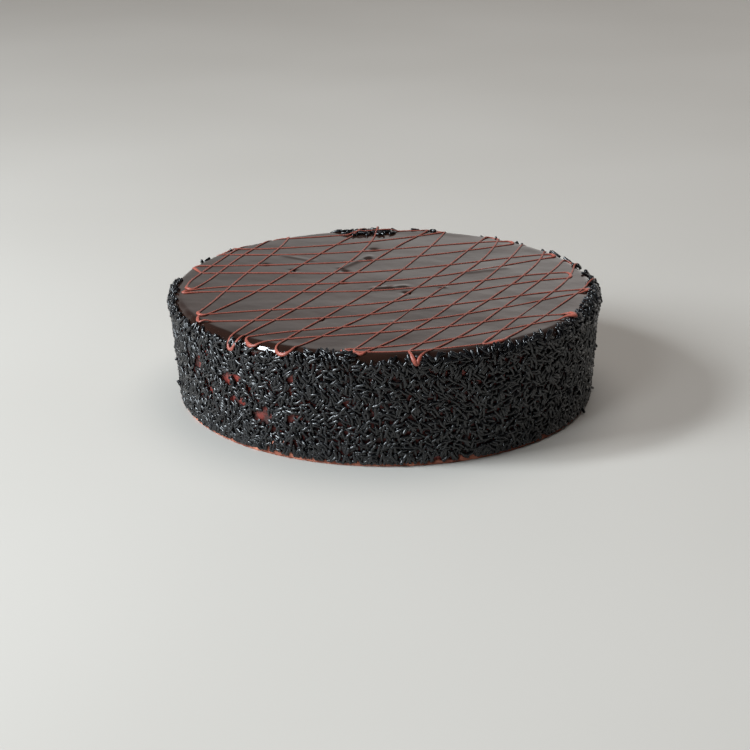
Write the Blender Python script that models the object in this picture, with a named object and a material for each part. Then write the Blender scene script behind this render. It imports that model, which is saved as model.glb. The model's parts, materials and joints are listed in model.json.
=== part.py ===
"""A whole sachertorte: a low round cake under a dark poured glaze.

A thin chocolate drizzle is zig-zagged over the top in two directions, and the side is
coated with chocolate vermicelli. Metres, +Z up. The origin is the middle of the foot.
"""
import math
import random
from typing import NamedTuple

import bmesh
import bpy
from mathutils import Matrix, Vector

MM = 0.001

# Cake body
CAKE_HEIGHT = 50.4 * MM
FOOT_RADIUS = 96.5 * MM
SHOULDER_RADIUS = 99.6 * MM
SHOULDER_HEIGHT = 45.2 * MM
FLAT_RADIUS = 94.5 * MM
RIM_ROUNDING = 4.2 * MM
RIM_STEPS = 3
BODY_SIDES = 80
FOOT_CENTRE = Vector((0.5, -0.9, 0.0)) * MM
TOP_CENTRE = Vector((-0.2, 0.5, 0.0)) * MM
OVAL_BULGE = 0.5 * MM
OVAL_BEARING = math.radians(25)
LOBE_BULGE = 0.35 * MM
LOBE_BEARING = math.radians(-80)

# Drizzle, as ridges with their lower edges sunk in the glaze
LINE_WIDTH = 1.3 * MM
LINE_HEIGHT = 0.55 * MM
TURN_WIDTH = 1.9 * MM
TURN_HEIGHT = 0.8 * MM
RIDGE_SINK = 0.35 * MM
LINE_STEPS = 6
FINE_STEPS = 80
TURN_STEPS = 4
SAG_KNOTS = (0.0, 0.25, 0.5, 0.75, 1.0)


class Stroke(NamedTuple):
    """One stroke of the drizzle, on the top unrolled flat, in degrees and mm.

    The ends are a bearing and a reach from the middle. The sags are how far it hangs to
    one side a quarter, half and three quarters of the way from its near end. The swing
    is how far the turn after it loops outwards.
    """

    near_bearing: float
    near_reach: float
    far_bearing: float
    far_reach: float
    sags: tuple
    swing: float


# From the left rim to the right, the back stroke first, sagging to the front
STROKES_ACROSS = (
    Stroke(127, 98, 77, 97, (0.7, -0.4, -1.4), 1.0),
    Stroke(142, 97, 71, 96, (5.5, 6.4, 4.5), 0.5),
    Stroke(149, 98, 49, 96, (6.0, 5.7, 1.6), 1.0),
    Stroke(162, 98, 46, 93, (7.5, 10.5, 8.0), 0.5),
    Stroke(168, 89, 31, 95, (8.4, 12.4, 6.5), 1.0),
    Stroke(186, 92, 28, 94, (4.0, 13.0, 10.0), 1.0),
    Stroke(188, 93, 12, 88, (6.0, 11.7, 6.3), 2.0),
    Stroke(209, 93, 6, 87, (5.0, 8.4, 3.2), 1.5),
    Stroke(214, 97, 355, 94, (8.0, 9.0, 3.0), 1.5),
    Stroke(232, 95, 352, 93, (3.4, 8.2, 5.8), 3.0),
    Stroke(237, 97, 330, 92, (0.5, 2.2, -0.2), 4.0),
    Stroke(260, 92, 327, 98, (4.7, 4.8, 2.5), 2.0),
    Stroke(259, 94, 297, 94, (4.0, 4.5, 3.0), 0.0),
)
# From the front rim to the back, the left stroke first, sagging to the right
STROKES_AWAY = (
    Stroke(183, 92, 133, 98, (-2.9, -3.0, -3.2), 1.0),
    Stroke(185, 89, 126, 98, (0.5, -1.0, -1.6), 3.0),
    Stroke(207, 93, 121, 96, (1.0, 1.0, 1.6), 1.0),
    Stroke(210, 92, 95, 99, (3.0, 1.3, -0.8), 2.0),
    Stroke(228, 98, 92, 99, (3.0, 7.0, 7.5), 4.5),
    Stroke(231, 97, 76, 97, (1.8, 0.8, -1.5), 2.5),
    Stroke(242, 97, 71, 98, (3.6, 6.0, 5.0), 3.0),
    Stroke(247, 97, 57, 95, (6.2, 7.5, 4.2), 2.0),
    Stroke(262, 93, 53, 96, (1.7, 3.2, 4.6), 2.5),
    Stroke(265, 95, 44, 96, (7.0, 7.4, 5.0), 4.5),
    Stroke(277, 95, 34, 95, (2.8, 4.6, 5.0), 5.5),
    Stroke(280, 99, 24, 95, (5.8, 5.4, 3.6), 3.5),
    Stroke(296, 94, 18, 96, (2.0, 3.6, 4.4), 2.0),
    Stroke(304, 93, 4, 98, (2.2, 2.4, 2.2), 0.0),
)

# Vermicelli
SPRINKLE_LENGTH = (5.0 * MM, 7.0 * MM)
SPRINKLE_THICKNESS = (1.15 * MM, 1.4 * MM)
SPRINKLE_SIDES = 5
SPRINKLE_SINK = 0.2
LIFTED_SHARE = 0.35
SIDE_SPRINKLES = 179
SIDE_LOWEST = 2.2 * MM
SIDE_HIGHEST = 44.0 * MM
SIDE_LIFT = math.radians(16)
LEVEL_BAND = 2.0 * MM
LEVEL_AIM = 0.15
BEARING_JITTER = 0.03
GOLDEN_ANGLE = math.radians(137.508)
# Clusters that lie on the rim: middle bearing, spread in degrees, how many, reach in mm
RIM_CLUSTERS = (
    (95, 8, 12, 92), (80, 2, 1, 98), (76, 2, 1, 97), (57, 2, 1, 98), (45, 3, 2, 98),
    (34, 3, 2, 98), (25, 2, 1, 98), (18, 2, 1, 98), (10, 3, 2, 98), (144, 1, 1, 98),
    (155, 2, 1, 98), (178, 4, 3, 98), (253, 7, 4, 98), (327, 27, 10, 98),
)
RIM_REACH_SPREAD = 3.5 * MM
RIM_LIFT = 0.2
SEED = 12


def clear_scene():
    """Start from an empty scene."""
    for item in list(bpy.data.objects):
        bpy.data.objects.remove(item, do_unlink=True)


def make_material(name, colour, roughness):
    """Return an opaque, non-metallic material."""
    material = bpy.data.materials.new(name)
    material.use_nodes = True
    shader = material.node_tree.nodes["Principled BSDF"]
    shader.inputs["Base Color"].default_value = (*colour, 1.0)
    shader.inputs["Roughness"].default_value = roughness
    shader.inputs["Metallic"].default_value = 0.0
    return material


def unevenness(bearing):
    """Return how far the hand-made side stands out of round at a bearing."""
    oval = OVAL_BULGE * math.cos(2 * (bearing - OVAL_BEARING))
    lobes = LOBE_BULGE * math.cos(3 * (bearing - LOBE_BEARING))
    return oval + lobes


def centre_at(height):
    """Return the middle of the slightly leaning cake at a height."""
    return FOOT_CENTRE.lerp(TOP_CENTRE, height / CAKE_HEIGHT)


def outward(bearing):
    """Return the level unit vector along a bearing."""
    return Vector((math.cos(bearing), math.sin(bearing), 0.0))


def surface_point(bearing, radius, height):
    """Return the point of the cake at a bearing, nominal radius and height."""
    place = centre_at(height) + outward(bearing) * (radius + unevenness(bearing))
    place.z = height
    return place


def glaze_frame(bearing, reach):
    """Return the point and normal on the glaze, at a reach along it from the middle.

    The reach runs over the flat top, round the rim and on down the side.
    """
    out = outward(bearing)
    past = reach - FLAT_RADIUS
    if past <= 0.0:
        place = centre_at(CAKE_HEIGHT) + out * (reach + unevenness(bearing))
        place.z = CAKE_HEIGHT
        return place, Vector((0.0, 0.0, 1.0))
    turned = min(past / RIM_ROUNDING, math.pi / 2)
    drop = max(past - RIM_ROUNDING * math.pi / 2, 0.0)
    radius = FLAT_RADIUS + RIM_ROUNDING * math.sin(turned)
    height = CAKE_HEIGHT - RIM_ROUNDING * (1.0 - math.cos(turned)) - drop
    normal = out * math.sin(turned) + Vector((0.0, 0.0, math.cos(turned)))
    return surface_point(bearing, radius, height), normal


def side_frame(bearing, height):
    """Return the point and normal on the coated side."""
    share = height / SHOULDER_HEIGHT
    radius = FOOT_RADIUS + (SHOULDER_RADIUS - FOOT_RADIUS) * share
    return surface_point(bearing, radius, height), outward(bearing)


def make_body(material):
    """Turn the cake's outline round its axis, then set it slightly out of round."""
    rim_radius = FLAT_RADIUS + RIM_ROUNDING
    rim_foot = CAKE_HEIGHT - RIM_ROUNDING
    outline = [(FOOT_RADIUS, 0.0), (SHOULDER_RADIUS, SHOULDER_HEIGHT), (rim_radius, rim_foot)]
    for step in range(1, RIM_STEPS + 1):
        turned = math.pi / 2 * (1.0 - step / RIM_STEPS)
        outline.append((
            FLAT_RADIUS + RIM_ROUNDING * math.sin(turned),
            rim_foot + RIM_ROUNDING * math.cos(turned),
        ))
    form = bmesh.new()
    points = [form.verts.new((radius, 0.0, height)) for radius, height in outline]
    edges = [form.edges.new(pair) for pair in zip(points, points[1:])]
    bmesh.ops.spin(
        form, geom=points + edges, cent=(0, 0, 0), axis=(0, 0, 1),
        angle=math.tau, steps=BODY_SIDES, use_merge=True,
    )
    open_edges = [edge for edge in form.edges if edge.is_boundary]
    bmesh.ops.edgeloop_fill(form, edges=open_edges)
    for vert in form.verts:
        bearing = math.atan2(vert.co.y, vert.co.x)
        radius = math.hypot(vert.co.x, vert.co.y)
        vert.co = surface_point(bearing, radius, vert.co.z)
    bmesh.ops.recalc_face_normals(form, faces=form.faces)
    mesh = bpy.data.meshes.new("cake")
    form.to_mesh(mesh)
    form.free()
    mesh.materials.append(material)
    body = bpy.data.objects.new("cake", mesh)
    bpy.context.scene.collection.objects.link(body)
    return body


def ridge_section(frames, index, width, height):
    """Return the three corners of a ridge's section at one point of its path."""
    place, normal = frames[index]
    before = frames[max(index - 1, 0)][0]
    after = frames[min(index + 1, len(frames) - 1)][0]
    side = (after - before).cross(normal).normalized()
    half = width / 2 * (height + RIDGE_SINK) / height
    low = place - normal * RIDGE_SINK
    return (low - side * half, low + side * half, place + normal * height)


def make_ridge(name, frames, width, height, material, group):
    """Extrude a three-sided section along a path of points and normals."""
    form = bmesh.new()
    corners = ridge_section(frames, 0, width, height)
    cap = form.faces.new([form.verts.new(corner) for corner in corners])
    for index in range(1, len(frames)):
        passed = cap
        made = bmesh.ops.extrude_face_region(form, geom=[cap])["geom"]
        cap = next(item for item in made if isinstance(item, bmesh.types.BMFace))
        if index > 1:
            bmesh.ops.delete(form, geom=[passed], context="FACES_ONLY")
        corners = ridge_section(frames, index, width, height)
        for vert, corner in zip(cap.verts, corners):
            vert.co = corner
    bmesh.ops.recalc_face_normals(form, faces=form.faces)
    link_form(name, form, material, group)


def link_form(name, form, material, group):
    """Make an object of a finished form and put it in a collection."""
    mesh = bpy.data.meshes.new(name)
    form.to_mesh(mesh)
    form.free()
    mesh.materials.append(material)
    group.objects.link(bpy.data.objects.new(name, mesh))


def frame_of(plan):
    """Lay a point of the unrolled top on the glaze."""
    return glaze_frame(math.atan2(plan.y, plan.x), plan.length)


def sag_at(share, sags):
    """Return the sag at a share of a stroke, on the smooth curve through its sags."""
    total = 0.0
    for index, depth in enumerate((0.0, *sags, 0.0)):
        weight = 1.0
        for other, knot in enumerate(SAG_KNOTS):
            if other != index:
                weight *= (share - knot) / (SAG_KNOTS[index] - knot)
        total += depth * weight
    return total


def stroke_curve(stroke):
    """Return a stroke's fine path over the unrolled top, from its near end."""
    near = outward(math.radians(stroke.near_bearing)) * stroke.near_reach * MM
    far = outward(math.radians(stroke.far_bearing)) * stroke.far_reach * MM
    side = (far - near).cross(Vector((0.0, 0.0, 1.0))).normalized()
    curve = []
    for step in range(FINE_STEPS + 1):
        share = step / FINE_STEPS
        curve.append(near.lerp(far, share) + side * sag_at(share, stroke.sags) * MM)
    return curve


def stroke_frames(curve):
    """Lay a stroke on the glaze: evenly over the flat top, and its ends on the rim."""
    on_top = [plan for plan in curve if plan.length <= FLAT_RADIUS]
    stride = (len(on_top) - 1) / LINE_STEPS
    path = [on_top[round(step * stride)] for step in range(LINE_STEPS + 1)]
    if curve[0].length > FLAT_RADIUS:
        path.insert(0, curve[0])
    if curve[-1].length > FLAT_RADIUS:
        path.append(curve[-1])
    return [frame_of(plan) for plan in path]


def turn_frames(start, end, swing):
    """Return the path of a turn that swings outwards from one stroke to the next."""
    middle = (start + end) / 2
    half = (end - start) / 2
    out = middle.normalized() * swing * MM
    frames = []
    for step in range(TURN_STEPS + 1):
        turned = math.pi * step / TURN_STEPS
        frames.append(frame_of(middle - half * math.cos(turned) + out * math.sin(turned)))
    return frames


def add_zigzag(name, strokes, near_first, material, group):
    """Lay one zig-zag pass of drizzle, as a ridge for each stroke and each turn.

    near_first says whether the first stroke runs from its near end or towards it.
    """
    curves = []
    for index, stroke in enumerate(strokes):
        curve = stroke_curve(stroke)
        if (index % 2 == 0) != near_first:
            curve.reverse()
        curves.append(curve)
    for index, curve in enumerate(curves):
        frames = stroke_frames(curve)
        make_ridge(f"{name}_{index}", frames, LINE_WIDTH, LINE_HEIGHT, material, group)
    for index, (curve, following) in enumerate(zip(curves, curves[1:])):
        start, end = curve[-1], following[0]
        if (end - start).length > TURN_WIDTH:
            frames = turn_frames(start, end, strokes[index].swing)
            make_ridge(f"{name}_turn_{index}", frames, TURN_WIDTH, TURN_HEIGHT, material, group)


def add_sprinkle(frame, aim, lift, draw, material, group):
    """Lay one vermicelli on the surface.

    aim is its angle in the surface, and lift how far one end stands out of it.
    """
    place, normal = frame
    length = draw.uniform(*SPRINKLE_LENGTH)
    thickness = draw.uniform(*SPRINKLE_THICKNESS)
    across = Vector((0.0, 0.0, 1.0)).cross(normal)
    if across.length < 0.01:
        across = Vector((1.0, 0.0, 0.0))
    across.normalize()
    along = across * math.cos(aim) + normal.cross(across) * math.sin(aim)
    along = along * math.cos(lift) + normal * math.sin(lift)
    raised = thickness * SPRINKLE_SINK + abs(math.sin(lift)) * length * LIFTED_SHARE
    middle = place + normal * raised
    turn = along.to_track_quat("Z", "Y").to_matrix().to_4x4()
    form = bmesh.new()
    bmesh.ops.create_cone(
        form, cap_ends=True, segments=SPRINKLE_SIDES, radius1=thickness / 2,
        radius2=thickness / 2, depth=length, matrix=Matrix.Translation(middle) @ turn,
    )
    link_form(f"vermicelli_{len(group.objects)}", form, material, group)


def add_side_sprinkles(draw, material, group):
    """Spread vermicelli evenly over the coated side, level where they near its edges."""
    for index in range(SIDE_SPRINKLES):
        bearing = index * GOLDEN_ANGLE + draw.uniform(-BEARING_JITTER, BEARING_JITTER)
        share = (index + 0.5) / SIDE_SPRINKLES
        height = SIDE_LOWEST + (SIDE_HIGHEST - SIDE_LOWEST) * share
        inside = min(height - SIDE_LOWEST, SIDE_HIGHEST - height) / LEVEL_BAND
        aim = draw.uniform(-math.pi / 2, math.pi / 2) * min(1.0, LEVEL_AIM + inside)
        lift = draw.uniform(-1.0, 1.0) ** 3 * SIDE_LIFT
        add_sprinkle(side_frame(bearing, height), aim, lift, draw, material, group)


def add_rim_sprinkles(draw, material, group):
    """Lay the vermicelli that climbed onto the rim."""
    for middle, spread, count, reach in RIM_CLUSTERS:
        for index in range(count):
            share = (index + 0.5) / count * 2.0 - 1.0
            bearing = math.radians(middle + spread * share)
            distance = reach * MM + draw.uniform(-1.0, 1.0) * RIM_REACH_SPREAD
            frame = glaze_frame(bearing, distance)
            aim = draw.uniform(0.0, math.pi)
            add_sprinkle(frame, aim, draw.uniform(0.0, RIM_LIFT), draw, material, group)


def fuse(body, group):
    """Join a collection's solids to the body, then remove the collection."""
    union = body.modifiers.new("toppings", "BOOLEAN")
    union.operation = "UNION"
    union.operand_type = "COLLECTION"
    union.collection = group
    union.solver = "EXACT"
    union.material_mode = "TRANSFER"
    graph = bpy.context.evaluated_depsgraph_get()
    joined = bpy.data.meshes.new_from_object(body.evaluated_get(graph))
    body.modifiers.clear()
    bare = body.data
    body.data = joined
    bpy.data.meshes.remove(bare)
    joined.name = "cake"
    for item in list(group.objects):
        bpy.data.objects.remove(item, do_unlink=True)
    bpy.data.collections.remove(group)


def keep_largest(body):
    """Drop every loose scrap, and fill any sealed hollow, by keeping the outer shell."""
    form = bmesh.new()
    form.from_mesh(body.data)
    unseen = set(form.verts)
    shells = []
    while unseen:
        front = [unseen.pop()]
        shell = set(front)
        while front:
            vert = front.pop()
            for edge in vert.link_edges:
                other = edge.other_vert(vert)
                if other in unseen:
                    unseen.remove(other)
                    shell.add(other)
                    front.append(other)
        shells.append(shell)
    shells.sort(key=len)
    spare = [vert for shell in shells[:-1] for vert in shell]
    bmesh.ops.delete(form, geom=spare, context="VERTS")
    form.to_mesh(body.data)
    form.free()


def build():
    """Build the whole cake as one solid."""
    clear_scene()
    glaze = make_material("dark chocolate glaze", (0.018, 0.008, 0.006), 0.12)
    drizzle = make_material("milk chocolate drizzle", (0.17, 0.045, 0.032), 0.35)
    vermicelli = make_material("dark chocolate vermicelli", (0.012, 0.010, 0.010), 0.4)
    body = make_body(glaze)
    group = bpy.data.collections.new("toppings")
    bpy.context.scene.collection.children.link(group)
    add_zigzag("across", STROKES_ACROSS, True, drizzle, group)
    add_zigzag("away", STROKES_AWAY, False, drizzle, group)
    draw = random.Random(SEED)
    add_side_sprinkles(draw, vermicelli, group)
    add_rim_sprinkles(draw, vermicelli, group)
    fuse(body, group)
    keep_largest(body)
    body.data.shade_smooth()
    body.data.set_sharp_from_angle(angle=math.radians(32))


build()
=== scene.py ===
"""Dressed model of a whole sachertorte.

A low round cake stands under a poured dark glaze. A thin milk chocolate drizzle is
zig-zagged over its top twice, and its side is coated with chocolate vermicelli.
"""
import json
import logging
import math
import random
from dataclasses import dataclass, field
from enum import Enum

import bmesh
import bpy
import numpy as np
from mathutils import Matrix, Quaternion, Vector, noise

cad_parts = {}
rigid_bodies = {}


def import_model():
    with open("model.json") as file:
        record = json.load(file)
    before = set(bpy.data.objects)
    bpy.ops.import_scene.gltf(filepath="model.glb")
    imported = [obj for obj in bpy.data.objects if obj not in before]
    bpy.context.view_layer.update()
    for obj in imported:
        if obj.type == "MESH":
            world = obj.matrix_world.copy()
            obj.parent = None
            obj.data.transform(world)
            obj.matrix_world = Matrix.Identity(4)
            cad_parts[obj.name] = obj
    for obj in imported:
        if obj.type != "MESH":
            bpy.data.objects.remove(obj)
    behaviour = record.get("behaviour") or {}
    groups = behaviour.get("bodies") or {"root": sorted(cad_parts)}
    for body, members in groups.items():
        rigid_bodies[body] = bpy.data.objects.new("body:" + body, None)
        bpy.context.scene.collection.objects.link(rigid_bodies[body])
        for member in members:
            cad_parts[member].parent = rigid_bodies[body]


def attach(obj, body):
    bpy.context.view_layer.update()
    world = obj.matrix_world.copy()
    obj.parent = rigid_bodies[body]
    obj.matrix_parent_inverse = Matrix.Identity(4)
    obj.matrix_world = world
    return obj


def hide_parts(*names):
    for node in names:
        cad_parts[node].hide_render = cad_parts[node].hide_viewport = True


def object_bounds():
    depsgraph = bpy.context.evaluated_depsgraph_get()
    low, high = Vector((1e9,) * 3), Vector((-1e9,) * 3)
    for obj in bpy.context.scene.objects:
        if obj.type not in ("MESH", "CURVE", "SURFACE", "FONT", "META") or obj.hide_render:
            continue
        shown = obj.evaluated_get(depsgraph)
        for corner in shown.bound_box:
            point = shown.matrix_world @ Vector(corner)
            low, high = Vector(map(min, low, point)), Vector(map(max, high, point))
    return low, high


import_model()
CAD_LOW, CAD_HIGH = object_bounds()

LOG = logging.getLogger("sachertorte")
MM = 0.001
UP = Vector((0.0, 0.0, 1.0))
BOX_MARGIN = 0.04 * MM
SAG_KNOTS = (0.0, 0.25, 0.5, 0.75, 1.0)
MERGE = 0.01 * MM
NOISE_GAIN = 1.6
Colour = tuple[float, float, float]
Place = tuple[float, float, float]
Pair = tuple[float, float]
Socket = bpy.types.NodeSocket

FULL: Pair = (0.0, 1.0)
DAY: Colour = (0.85, 0.94, 1.0)
LAMP: Colour = (1.0, 0.98, 0.96)


class Kind(Enum):
    """The shapes that vermicelli come in."""

    STRAIGHT = "vermicelli_straight"
    CURVED = "vermicelli_curved"
    HOOKED = "vermicelli_hooked"
    STUBBY = "vermicelli_stubby"


class Pass(Enum):
    """The two zig-zag passes of the drizzle."""

    ACROSS = "drizzle_across"
    AWAY = "drizzle_away"


def smooth_step(value: float) -> float:
    """Return a value eased between 0 and 1."""
    held = min(max(value, 0.0), 1.0)
    return held * held * (3.0 - 2.0 * held)


def outward(bearing: float) -> Vector:
    """Return the level unit vector along a bearing."""
    return Vector((math.cos(bearing), math.sin(bearing), 0.0))


def boxed(place: Vector) -> Vector:
    """Move a place in where it would stand out of the cake's stated box.

    Args:
        place: the place, which is changed.

    Returns:
        The same place.
    """
    for axis in range(3):
        low, high = CAD_LOW[axis] + BOX_MARGIN, CAD_HIGH[axis] - BOX_MARGIN
        place[axis] = min(max(place[axis], low), high)
    return place


def turning_noise(bearing: float, lobes: float, seed: float) -> float:
    """Return a smooth random value that closes on itself round the cake.

    Args:
        bearing: where round the cake, in radians.
        lobes: how fast the value changes.
        seed: which of many such curves to follow.

    Returns:
        A value between about -1 and 1.
    """
    place = Vector((math.cos(bearing) * lobes, math.sin(bearing) * lobes, seed))
    return noise.noise(place) * NOISE_GAIN


@dataclass(frozen=True)
class Wave:
    """A smooth random unevenness that runs round the cake."""

    lobes: float
    seed: float
    height: float

    def at(self, bearing: float) -> float:
        """Return the unevenness at a bearing."""
        return turning_noise(bearing, self.lobes, self.seed) * self.height


@dataclass(frozen=True)
class Stroke:
    """One stroke of the drizzle, on the top unrolled flat, in degrees and mm.

    The ends are a bearing and a reach from the middle. The sags are how far it hangs to
    one side a quarter, half and three quarters of the way from its near end. The swing
    is how far the turn after it loops outwards.
    """

    near_bearing: float
    near_reach: float
    far_bearing: float
    far_reach: float
    sags: tuple[float, float, float]
    swing: float

    def sag_at(self, share: float) -> float:
        """Find the sag on the smooth curve through the stroke's sags.

        Args:
            share: how far along the stroke, 0 to 1.

        Returns:
            The sag in mm.
        """
        total = 0.0
        for index, depth in enumerate((0.0, *self.sags, 0.0)):
            weight = 1.0
            for other, knot in enumerate(SAG_KNOTS):
                if other != index:
                    weight *= (share - knot) / (SAG_KNOTS[index] - knot)
            total += depth * weight
        return total

    def curve(self, spacing: float) -> list[Vector]:
        """Lay out the stroke from its near end.

        Args:
            spacing: about how far apart the points are, in metres.

        Returns:
            The points on the unrolled top.
        """
        near = outward(math.radians(self.near_bearing)) * self.near_reach * MM
        far = outward(math.radians(self.far_bearing)) * self.far_reach * MM
        side = (far - near).cross(UP).normalized()
        steps = max(int((far - near).length / spacing), 4)
        points = []
        for step in range(steps + 1):
            share = step / steps
            points.append(near.lerp(far, share) + side * self.sag_at(share) * MM)
        return points


STROKES = {
    Pass.ACROSS: (
        Stroke(127, 98, 77, 97, (0.7, -0.4, -1.4), 1.0),
        Stroke(142, 97, 71, 96, (5.5, 6.4, 4.5), 0.5),
        Stroke(149, 98, 49, 96, (6.0, 5.7, 1.6), 1.0),
        Stroke(162, 98, 46, 93, (7.5, 10.5, 8.0), 0.5),
        Stroke(168, 89, 31, 95, (8.4, 12.4, 6.5), 1.0),
        Stroke(186, 92, 28, 94, (4.0, 13.0, 10.0), 1.0),
        Stroke(188, 93, 12, 88, (6.0, 11.7, 6.3), 2.0),
        Stroke(209, 93, 6, 87, (5.0, 8.4, 3.2), 1.5),
        Stroke(214, 97, 355, 94, (8.0, 9.0, 3.0), 1.5),
        Stroke(232, 95, 352, 93, (3.4, 8.2, 5.8), 3.0),
        Stroke(237, 97, 331, 93, (0.5, 2.2, -0.2), 2.2),
        Stroke(260, 92, 328.5, 96, (4.7, 4.8, 2.5), 2.0),
        Stroke(259, 94, 297, 94, (4.0, 4.5, 3.0), 0.0),
    ),
    Pass.AWAY: (
        Stroke(183, 92, 133, 98, (-2.9, -3.0, -3.2), 1.0),
        Stroke(185, 89, 126, 98, (0.5, -1.0, -1.6), 3.0),
        Stroke(207, 93, 121, 96, (1.0, 1.0, 1.6), 1.0),
        Stroke(210, 92, 95, 99, (3.0, 1.3, -0.8), 2.0),
        Stroke(228, 98, 92, 99, (3.0, 7.0, 7.5), 4.5),
        Stroke(231, 97, 76, 97, (1.8, 0.8, -1.5), 2.5),
        Stroke(242, 97, 71, 98, (3.6, 6.0, 5.0), 3.0),
        Stroke(247, 97, 57, 95, (6.2, 7.5, 4.2), 2.0),
        Stroke(262, 93, 53, 96, (1.7, 3.2, 4.6), 2.5),
        Stroke(265, 95, 44, 96, (7.0, 7.4, 5.0), 4.5),
        Stroke(276, 94, 34, 95, (2.8, 4.6, 5.0), 3.4),
        Stroke(278, 99, 24, 95, (5.8, 5.4, 3.6), 3.5),
        Stroke(296, 94, 18, 96, (2.0, 3.6, 4.4), 2.0),
        Stroke(304, 93, 4, 98, (2.2, 2.4, 2.2), 0.0),
    ),
}


@dataclass(frozen=True)
class Swell:
    """A soft unevenness of the poured top: its size each way, seed and height in mm."""

    width: float
    depth: float
    seed: float
    height: float

    def at(self, x: float, y: float) -> float:
        """Return the added height in metres at a place in metres."""
        place = Vector((x / self.width, y / self.depth, self.seed))
        return noise.noise(place) * self.height * MM


@dataclass(frozen=True)
class CakeForm:
    """The cake's sizes, and the surfaces that everything on it lies on."""

    height: float = 50.4 * MM
    foot_radius: float = 96.5 * MM
    shoulder_radius: float = 99.6 * MM
    shoulder_height: float = 45.2 * MM
    flat_radius: float = 94.5 * MM
    rounding: float = 4.2 * MM
    bed_depth: float = 1.9 * MM
    lip_height: float = 3.4 * MM
    foot_centre: Vector = field(default_factory=lambda: Vector((0.5, -0.9, 0.0)) * MM)
    top_centre: Vector = field(default_factory=lambda: Vector((-0.2, 0.5, 0.0)) * MM)
    oval: Pair = (0.5 * MM, math.radians(25))
    lobe: Pair = (0.35 * MM, math.radians(-80))
    settle_band: float = 6.0 * MM
    swells: tuple[Swell, ...] = (
        Swell(0.038, 0.024, 3.1, 0.20), Swell(0.014, 0.008, 8.7, 0.040),
    )

    @property
    def rim_radius(self) -> float:
        """Outermost radius of the glaze."""
        return self.flat_radius + self.rounding

    @property
    def rim_foot(self) -> float:
        """Height where the rim's rounding begins."""
        return self.height - self.rounding

    @property
    def quarter(self) -> float:
        """Length of the rim's rounding, along the glaze."""
        return self.rounding * math.pi / 2

    def unevenness(self, bearing: float) -> float:
        """Return how far the side stands out of round at a bearing."""
        oval = self.oval[0] * math.cos(2 * (bearing - self.oval[1]))
        return oval + self.lobe[0] * math.cos(3 * (bearing - self.lobe[1]))

    def centre_at(self, height: float) -> Vector:
        """Return the middle of the slightly leaning cake at a height."""
        return self.foot_centre.lerp(self.top_centre, height / self.height)

    def point(self, bearing: float, radius: float, height: float) -> Vector:
        """Find a place on the slightly uneven, leaning cake.

        Args:
            bearing: direction round the cake, in radians.
            radius: nominal distance from the middle, in metres.
            height: height over the foot, in metres.

        Returns:
            The place.
        """
        share = smooth_step(radius / self.flat_radius)
        reach = radius + self.unevenness(bearing) * share
        place = self.centre_at(height) + outward(bearing) * reach
        place.z = height
        return place

    def wall_radius(self, height: float) -> float:
        """Find how far out the glazed side under its coat is.

        Args:
            height: height over the foot, in metres.

        Returns:
            The nominal radius in metres.
        """
        share = height / self.shoulder_height
        mean = self.foot_radius + (self.shoulder_radius - self.foot_radius) * share
        wall = mean - self.bed_depth
        lip = smooth_step((height - self.rim_foot + self.lip_height) / self.lip_height)
        return wall + (self.rim_radius - wall) * lip

    def swell(self, x: float, y: float) -> float:
        """Find the poured glaze's height over a level top.

        Args:
            x: distance to the right of the middle, in metres.
            y: distance behind the middle, in metres.

        Returns:
            The added height in metres.
        """
        return sum(swell.at(x, y) for swell in self.swells)

    def glaze_frame(self, bearing: float, reach: float) -> tuple[Vector, Vector]:
        """Return a point and normal on the glaze.

        Args:
            bearing: direction from the middle, in radians.
            reach: distance along the glaze, over the top and on round the rim.

        Returns:
            The point, and the unit normal there.
        """
        out = outward(bearing)
        past = reach - self.flat_radius
        if past <= 0.0:
            place = self.point(bearing, reach, self.height)
            place.z += self.swell(place.x, place.y) * smooth_step(-past / self.settle_band)
            return place, UP.copy()
        turned = min(past / self.rounding, math.pi / 2)
        drop = max(past - self.quarter, 0.0)
        height = self.rim_foot + self.rounding * math.cos(turned) - drop
        if drop > 0.0:
            return self.point(bearing, self.wall_radius(height), height), out
        radius = self.flat_radius + self.rounding * math.sin(turned)
        return self.point(bearing, radius, height), out * math.sin(turned) + UP * math.cos(turned)


@dataclass(frozen=True)
class Grain:
    """A noise pattern: cells in a metre, finer layers, and how strong those are."""

    scale: float
    detail: float = 2.0
    rough: float = 0.5


@dataclass(frozen=True)
class Relief:
    """A grain that stands up: how much of it shows, and how deep it is in metres."""

    grain: Grain
    strength: float
    depth: float


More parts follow.
